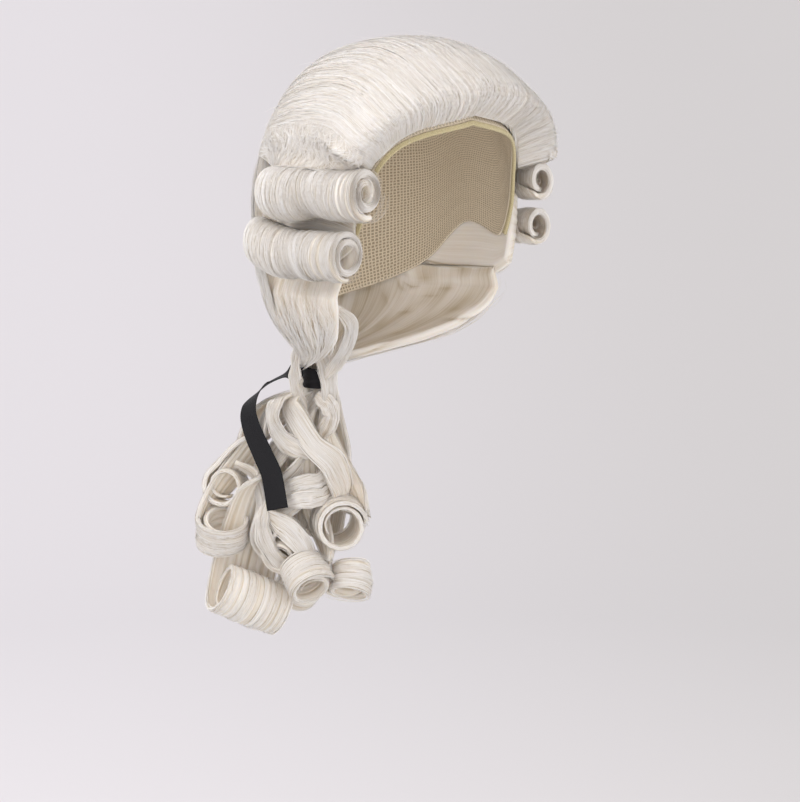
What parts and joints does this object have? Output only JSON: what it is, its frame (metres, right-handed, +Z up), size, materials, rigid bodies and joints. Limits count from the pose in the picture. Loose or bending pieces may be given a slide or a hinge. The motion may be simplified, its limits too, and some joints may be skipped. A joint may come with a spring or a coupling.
{
  "type": "powdered wig",
  "caption": "Pale period wig on a net cap: hair combed up and back from the forehead, rolled side curls over the ears, and a queue of barrel curls tied with a black ribbon",
  "frame": {"origin": "the top of the wearer's head, where the inside of the cap bears on it", "axes": "+Z up, -Y the way that the wearer faces, +X the wearer's left"},
  "size_m": [0.2235, 0.2583, 0.4359],
  "materials": {
    "hair": "pale ivory wig fibre with a soft satin sheen along the strands",
    "net": "matt wefted wig net",
    "binding": "matt woven binding tape",
    "ribbon": "black fine-ribbed ribbon with a low sheen"
  },
  "bodies": {
    "root": {"cap": "net", "front_band": "binding", "crown_hair": "hair", "side_hair_right": "hair", "side_hair_left": "hair", "nape_hair": "hair", "side_roll_upper_right": "hair", "side_roll_lower_right": "hair", "side_roll_upper_left": "hair", "side_roll_lower_left": "hair", "queue": "hair", "ribbon_wrap": "ribbon", "ribbon_tail": "ribbon"}
  },
  "joints": []
}
